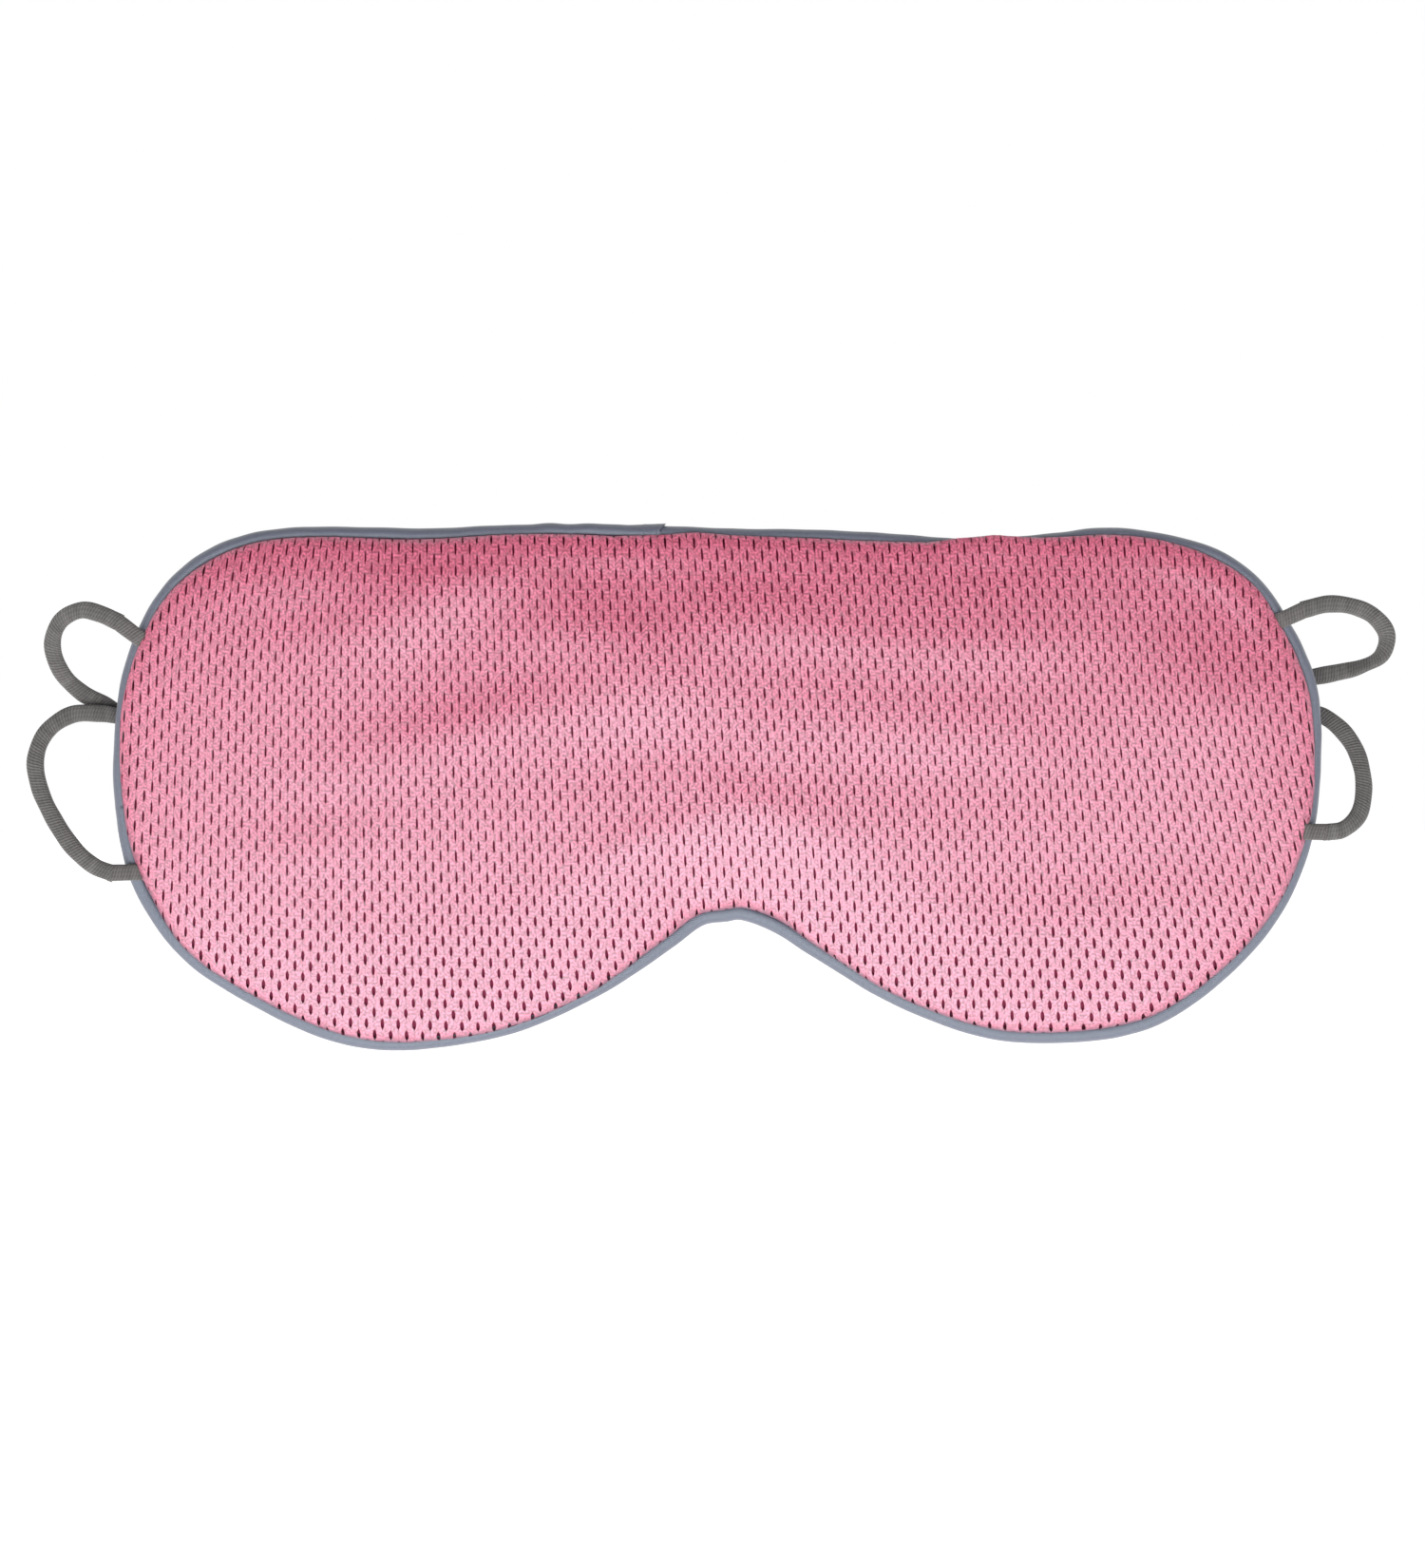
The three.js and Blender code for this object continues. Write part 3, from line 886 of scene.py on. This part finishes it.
class Finish:
    """One material's shader nodes."""

    def __init__(self, name, roughness, sheen=0.0):
        self.material = bpy.data.materials.new(name)
        self.material.use_nodes = True
        self.tree = self.material.node_tree
        self.surface = self.tree.nodes["Principled BSDF"]
        self.surface.inputs["Roughness"].default_value = roughness
        self.surface.inputs["Specular IOR Level"].default_value = 0.25
        self.surface.inputs["Sheen Weight"].default_value = sheen
        self.surface.inputs["Sheen Roughness"].default_value = 0.5

    def shine(self, ior, tint):
        """The strong, slightly tinted shine of polyester thread."""
        self.surface.inputs["IOR"].default_value = ior
        self.surface.inputs["Specular IOR Level"].default_value = 1.0
        self.surface.inputs["Specular Tint"].default_value = (*tint, 1)

    def put(self, socket, value):
        """Links another node's output to a socket, or sets the socket to a value."""
        if isinstance(value, bpy.types.NodeSocket):
            self.tree.links.new(value, socket)
        else:
            socket.default_value = value

    def node(self, kind, inputs=None, **settings):
        """A new shader node with its settings, and its inputs by name or number."""
        made = self.tree.nodes.new("ShaderNode" + kind)
        for key, value in settings.items():
            setattr(made, key, value)
        for key, value in (inputs or {}).items():
            self.put(made.inputs[key], value)
        return made

    def math(self, operation, a, b=0.0, c=0.0):
        """The result of a sum on numbers or other nodes' outputs."""
        return self.node("Math", {0: a, 1: b, 2: c}, operation=operation).outputs[0]

    def scaled(self, value, factor, plus):
        """value times factor, and something more."""
        return self.math("MULTIPLY_ADD", value, factor, plus)

    def weave(self):
        """The cloth's own coordinates: along and across, in millimetres."""
        place = self.node("Attribute", attribute_name="weave").outputs["Vector"]
        return place, self.node("SeparateXYZ", {0: place}).outputs

    def ripple(self, coordinate, period, shift=0.0):
        """A sine wave along a coordinate."""
        return self.math("SINE", self.scaled(coordinate, 2 * math.pi / period, shift))

    def noise(self, vector, scale, detail):
        """Soft noise from 0 to 1, with so many bumps to the millimetre."""
        made = self.node("TexNoise", {"Vector": vector, "Scale": scale, "Detail": detail})
        return made.outputs["Fac"]

    def blend(self, share, *colours):
        """A mix of two colours, each a plain colour or another node's output."""
        made = self.node("Mix", {0: share}, data_type="RGBA")
        ends = [socket for socket in made.inputs if socket.type == "RGBA"]
        for end, colour in zip(ends, colours):
            self.put(end, (*colour, 1) if isinstance(colour, tuple) else colour)
        return next(socket for socket in made.outputs if socket.type == "RGBA")

    def colour(self, value):
        """Sets or links the surface's colour."""
        self.put(self.surface.inputs["Base Color"], value)

    def bump(self, height, depth_mm):
        """Raises the surface a little where height is more."""
        made = self.node("Bump", {"Height": height, "Distance": depth_mm * MM, "Strength": 1.0})
        self.put(self.surface.inputs["Normal"], made.outputs["Normal"])


def woven(name, dark, light, period, roughness, sheen=0.0, gloss=None, grain=0.6):
    """Cloth with a fine even texture, mottled between two tones, or plain if light is None.

    period is its threads' spacing in millimetres, gloss tints its shine, and grain is how many
    mottles there are in a millimetre.
    """
    finish = Finish(name, roughness, sheen)
    if gloss:
        finish.shine(1.66, gloss)
    place, axes = finish.weave()
    along = finish.ripple(axes[0], period)
    across = finish.ripple(axes[1], period)
    thread = finish.math("MULTIPLY", along, across)
    if light:
        share = finish.scaled(thread, 0.22, finish.noise(place, grain, 4.0))
        finish.colour(finish.blend(share, dark, light))
    else:
        finish.colour((*dark, 1))
    finish.bump(thread, 0.03)
    return finish.material


def pink_mesh():
    """Warp-knitted mesh: short upright stitches in columns, with a painted highlight on their crowns,
    and fuzzy.
    """
    finish = Finish("pink_mesh", 0.42, 0.1)
    finish.shine(1.8, PINK_GLOSS)
    place, axes = finish.weave()
    # Six columns of stitches to an eyelet's pitch.
    wale = finish.ripple(axes[0], EYELET_PITCH / 6)
    course = finish.ripple(axes[1], 0.36)
    stitch = finish.math("MULTIPLY", wale, course)
    # Broad faint mottles, and fuzz as fine as the stitches.
    mottle = finish.scaled(finish.noise(place, 0.35, 3.0), 0.5, 0.25)
    fuzz = finish.scaled(finish.noise(place, 2.8, 1.0), 4.2, -2.1)
    # The stitches' crowns are painted lighter as a highlight, while the mottles and fuzz vary the tone
    # at random.
    share = finish.scaled(stitch, 0.4, finish.math("ADD", mottle, fuzz))
    # A fine valley runs down from eyelet to eyelet, its shade painted on as a darker line.
    column = finish.ripple(axes[0], EYELET_PITCH / 2, math.pi / 2)
    painted_valley_shade = finish.math("POWER", finish.scaled(column, 0.5, 0.5), 20.0)
    share = finish.math("SUBTRACT", share, finish.math("MULTIPLY", painted_valley_shade, 0.4))
    knit = finish.blend(share, PINK_DEEP, PINK_LIGHT)
    # The weave's third number tells where shade is painted onto the cover along the lower edge's seam,
    # blending it towards plum.
    finish.colour(finish.blend(axes[2], knit, PLUM))
    finish.bump(stitch, 0.02)
    return finish.material


def ribbed_elastic():
    """Elastic with fine ribs along its length and a slanting knit."""
    finish = Finish("grey_elastic", 0.85, 0.25)
    place, axes = finish.weave()
    rib = finish.ripple(axes[1], 1 / 14)
    slanting = finish.math("ADD", axes[0], finish.math("MULTIPLY", axes[1], 3.0))
    knit = finish.ripple(slanting, 0.5)
    texture = finish.math("ADD", finish.math("MULTIPLY", rib, 0.25), finish.math("MULTIPLY", knit, 0.75))
    share = finish.scaled(texture, 0.25, finish.noise(place, 0.8, 4.0))
    finish.colour(finish.blend(share, ELASTIC_DARK, ELASTIC_LIGHT))
    finish.bump(texture, 0.07)
    return finish.material


def paint(pieces, material):
    """Gives some pieces their one material."""
    for piece in pieces:
        piece.data.materials.clear()
        piece.data.materials.append(material)


# ---- the mask ----

cover = add_front_cover()
blackout = add_blackout()
pad = add_padding()
lining = add_lining()
binding = add_binding()
lap = add_binding_lap()
stitches = add_stitches()
tails = [
    add_tail("left_upper_tail", "left_half", LEFT_ROUTE[0]),
    add_tail("left_lower_tail", "left_half", LEFT_ROUTE[-1]),
    add_tail("right_upper_tail", "right_half", RIGHT_ROUTE[0]),
    add_tail("right_lower_tail", "right_half", RIGHT_ROUTE[-1]),
]

paint([cover], pink_mesh())
paint([blackout], woven("plum_blackout", PLUM, PLUM_LIGHT, period=0.5, roughness=0.9))
paint([pad], woven("white_wadding", WADDING, None, period=1.5, roughness=0.95))
paint([lining], woven("slate_lining", LINING, LINING_LIGHT, period=0.45, roughness=0.85, sheen=0.3))
tape = woven(
    "slate_tape", SLATE, SLATE_LIGHT, period=0.42, roughness=0.5, sheen=0.2, gloss=TAPE_GLOSS, grain=2.0
)
paint([binding, lap], tape)
paint([stitches], woven("slate_thread", SLATE, SLATE_LIGHT, period=0.3, roughness=0.7, sheen=0.2))
paint(loops + tails, ribbed_elastic())

# ---- floor, world and lights ----


def add_floor():
    """A pale floor far enough down that the mask casts no mark on it."""
    half, drop = 80.0, 0.9  # metres
    corners = [(-half, -half, -drop), (half, -half, -drop), (half, half, -drop), (-half, half, -drop)]
    mesh = bpy.data.meshes.new("floor")
    mesh.from_pydata(corners, [], [(0, 1, 2, 3)])
    floor = bpy.data.objects.new("floor", mesh)
    bpy.context.scene.collection.objects.link(floor)
    finish = Finish("pale_floor", 0.9)
    finish.surface.inputs["Base Color"].default_value = (0.9, 0.9, 0.9, 1)
    finish.surface.inputs["Emission Color"].default_value = (1, 1, 1, 1)
    finish.surface.inputs["Emission Strength"].default_value = 0.55
    mesh.materials.append(finish.material)


def add_world():
    """A white room, dim on the side that the mask faces and above it."""
    world_light = bpy.data.worlds.new("studio")
    bpy.context.scene.world = world_light
    world_light.use_nodes = True
    nodes, links = world_light.node_tree.nodes, world_light.node_tree.links
    background = nodes["Background"]
    background.inputs["Color"].default_value = (1, 1, 1, 1)
    place = nodes.new("ShaderNodeTexCoord")
    toward = nodes.new("ShaderNodeVectorMath")
    toward.operation = "DOT_PRODUCT"
    toward.inputs[1].default_value = (0, -1.0, 0.5)
    fade = nodes.new("ShaderNodeMapRange")
    fade.interpolation_type = "SMOOTHSTEP"
    for socket, value in (("From Min", 0.15), ("From Max", 0.9), ("To Min", 1.05), ("To Max", 0.11)):
        fade.inputs[socket].default_value = value
    links.new(place.outputs["Generated"], toward.inputs[0])
    links.new(toward.outputs["Value"], fade.inputs["Value"])
    # The camera sees plain white behind the mask, whichever way it looks.
    ray = nodes.new("ShaderNodeLightPath")
    seen = nodes.new("ShaderNodeMix")
    links.new(ray.outputs["Is Camera Ray"], seen.inputs[0])
    links.new(fade.outputs["Result"], seen.inputs[2])
    seen.inputs[3].default_value = 1.0
    links.new(seen.outputs[0], background.inputs["Strength"])


def add_light(name, place, size, radiance):
    """A soft panel that faces the mask, of the given size and brightness."""
    lamp = bpy.data.lights.new(name, "AREA")
    lamp.shape = "RECTANGLE"
    lamp.size, lamp.size_y = size
    lamp.energy = radiance * math.pi * size[0] * size[1]
    light = bpy.data.objects.new(name, lamp)
    bpy.context.scene.collection.objects.link(light)
    light.location = place
    light.rotation_euler = (-Vector(place)).to_track_quat("-Z", "Y").to_euler()
    light.visible_camera = False


add_floor()
add_world()
add_light("low_front", (-0.08, -0.8, -0.36), (1.6, 0.6), 3.6)
bpy.context.scene.view_settings.view_transform = "Standard"
